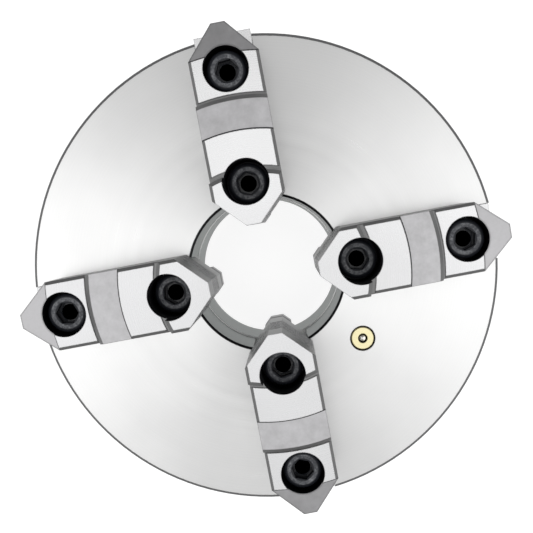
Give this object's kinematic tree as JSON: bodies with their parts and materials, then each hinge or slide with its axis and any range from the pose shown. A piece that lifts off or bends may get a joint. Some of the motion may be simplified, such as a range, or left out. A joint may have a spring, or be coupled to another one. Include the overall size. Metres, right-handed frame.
{
  "type": "lathe chuck",
  "caption": "Self-centring lathe chuck: round body with a through bore, spiral scroll, bevel pinions and stepped two-piece jaws that slide in and out together.",
  "frame": {"origin": "on the chuck axis, in the plane of the back face that meets the spindle flange", "axes": "+Z along the chuck axis toward the jaws; +X along jaw 1, with jaws 2 to 4 following every 90 degrees counter-clockwise seen from the front"},
  "size_m": [0.201, 0.2015, 0.122],
  "materials": {
    "body_iron": "ground, satin",
    "cover_steel": "turned",
    "jaw_steel": "ground, satin",
    "gear_steel": "machined and hardened",
    "black_oxide": "black oxide, oiled",
    "brass": "turned",
    "bright_steel": "polished",
    "spring_steel": "drawn wire"
  },
  "bodies": {
    "chuck": {"chuck_body": "body_iron", "back_cover": "cover_steel", "back_cover_screws": "black_oxide", "pinion_lock_screws": "black_oxide", "oiler_body": "brass", "oiler_spring": "spring_steel"},
    "scroll": {"scroll_plate": "gear_steel"},
    "jaw_1": {"master_jaw_1": "jaw_steel", "top_jaw_1": "jaw_steel", "jaw_screws_1": "black_oxide"},
    "jaw_2": {"master_jaw_2": "jaw_steel", "top_jaw_2": "jaw_steel", "jaw_screws_2": "black_oxide"},
    "jaw_3": {"master_jaw_3": "jaw_steel", "top_jaw_3": "jaw_steel", "jaw_screws_3": "black_oxide"},
    "jaw_4": {"master_jaw_4": "jaw_steel", "top_jaw_4": "jaw_steel", "jaw_screws_4": "black_oxide"},
    "pinion_1": {"pinion_1": "gear_steel"},
    "pinion_2": {"pinion_2": "gear_steel"},
    "pinion_3": {"pinion_3": "gear_steel"},
    "pinion_4": {"pinion_4": "gear_steel"},
    "oiler_ball": {"oiler_ball": "bright_steel"}
  },
  "joints": [
    {"name": "scroll_turn", "type": "hinge", "parent": "chuck", "child": "scroll", "pos_m": [0, 0, 0.04], "axis": [0, 0, 1], "range_deg": [-720, 720]},
    {"name": "jaw_1_slide", "type": "slide", "parent": "chuck", "child": "jaw_1", "axis": [-1, 0, 0], "range_m": [-0.018, 0.018]},
    {"name": "jaw_2_slide", "type": "slide", "parent": "chuck", "child": "jaw_2", "axis": [0, -1, 0], "range_m": [-0.018, 0.018]},
    {"name": "jaw_3_slide", "type": "slide", "parent": "chuck", "child": "jaw_3", "axis": [1, 0, 0], "range_m": [-0.018, 0.018]},
    {"name": "jaw_4_slide", "type": "slide", "parent": "chuck", "child": "jaw_4", "axis": [0, 1, 0], "range_m": [-0.018, 0.018]},
    {"name": "pinion_1_turn", "type": "hinge", "parent": "chuck", "child": "pinion_1", "pos_m": [0.06364, 0.06364, 0.0225], "axis": [-0.7071, -0.7071, 0], "range_deg": [-5040, 5040]},
    {"name": "pinion_2_turn", "type": "hinge", "parent": "chuck", "child": "pinion_2", "pos_m": [-0.06364, 0.06364, 0.0225], "axis": [0.7071, -0.7071, 0], "range_deg": [-5040, 5040]},
    {"name": "pinion_3_turn", "type": "hinge", "parent": "chuck", "child": "pinion_3", "pos_m": [-0.06364, -0.06364, 0.0225], "axis": [0.7071, 0.7071, 0], "range_deg": [-5040, 5040]},
    {"name": "pinion_4_turn", "type": "hinge", "parent": "chuck", "child": "pinion_4", "pos_m": [0.06364, -0.06364, 0.0225], "axis": [-0.7071, 0.7071, 0], "range_deg": [-5040, 5040]},
    {"name": "oiler_ball_press", "type": "slide", "parent": "chuck", "child": "oiler_ball", "axis": [0, 0, -1], "range_m": [0, 0.001], "stiffness_N_per_m": 500, "springref_m": -0.002, "deforming": ["oiler_spring"]}
  ],
  "couplings": [
    {"joint": "jaw_1_slide", "follows": "scroll_turn", "m_per_rad": 0.0014324},
    {"joint": "jaw_2_slide", "follows": "scroll_turn", "m_per_rad": 0.0014324},
    {"joint": "jaw_3_slide", "follows": "scroll_turn", "m_per_rad": 0.0014324},
    {"joint": "jaw_4_slide", "follows": "scroll_turn", "m_per_rad": 0.0014324},
    {"joint": "pinion_1_turn", "follows": "scroll_turn", "ratio": 7},
    {"joint": "pinion_2_turn", "follows": "scroll_turn", "ratio": 7},
    {"joint": "pinion_3_turn", "follows": "scroll_turn", "ratio": 7},
    {"joint": "pinion_4_turn", "follows": "scroll_turn", "ratio": 7}
  ]
}
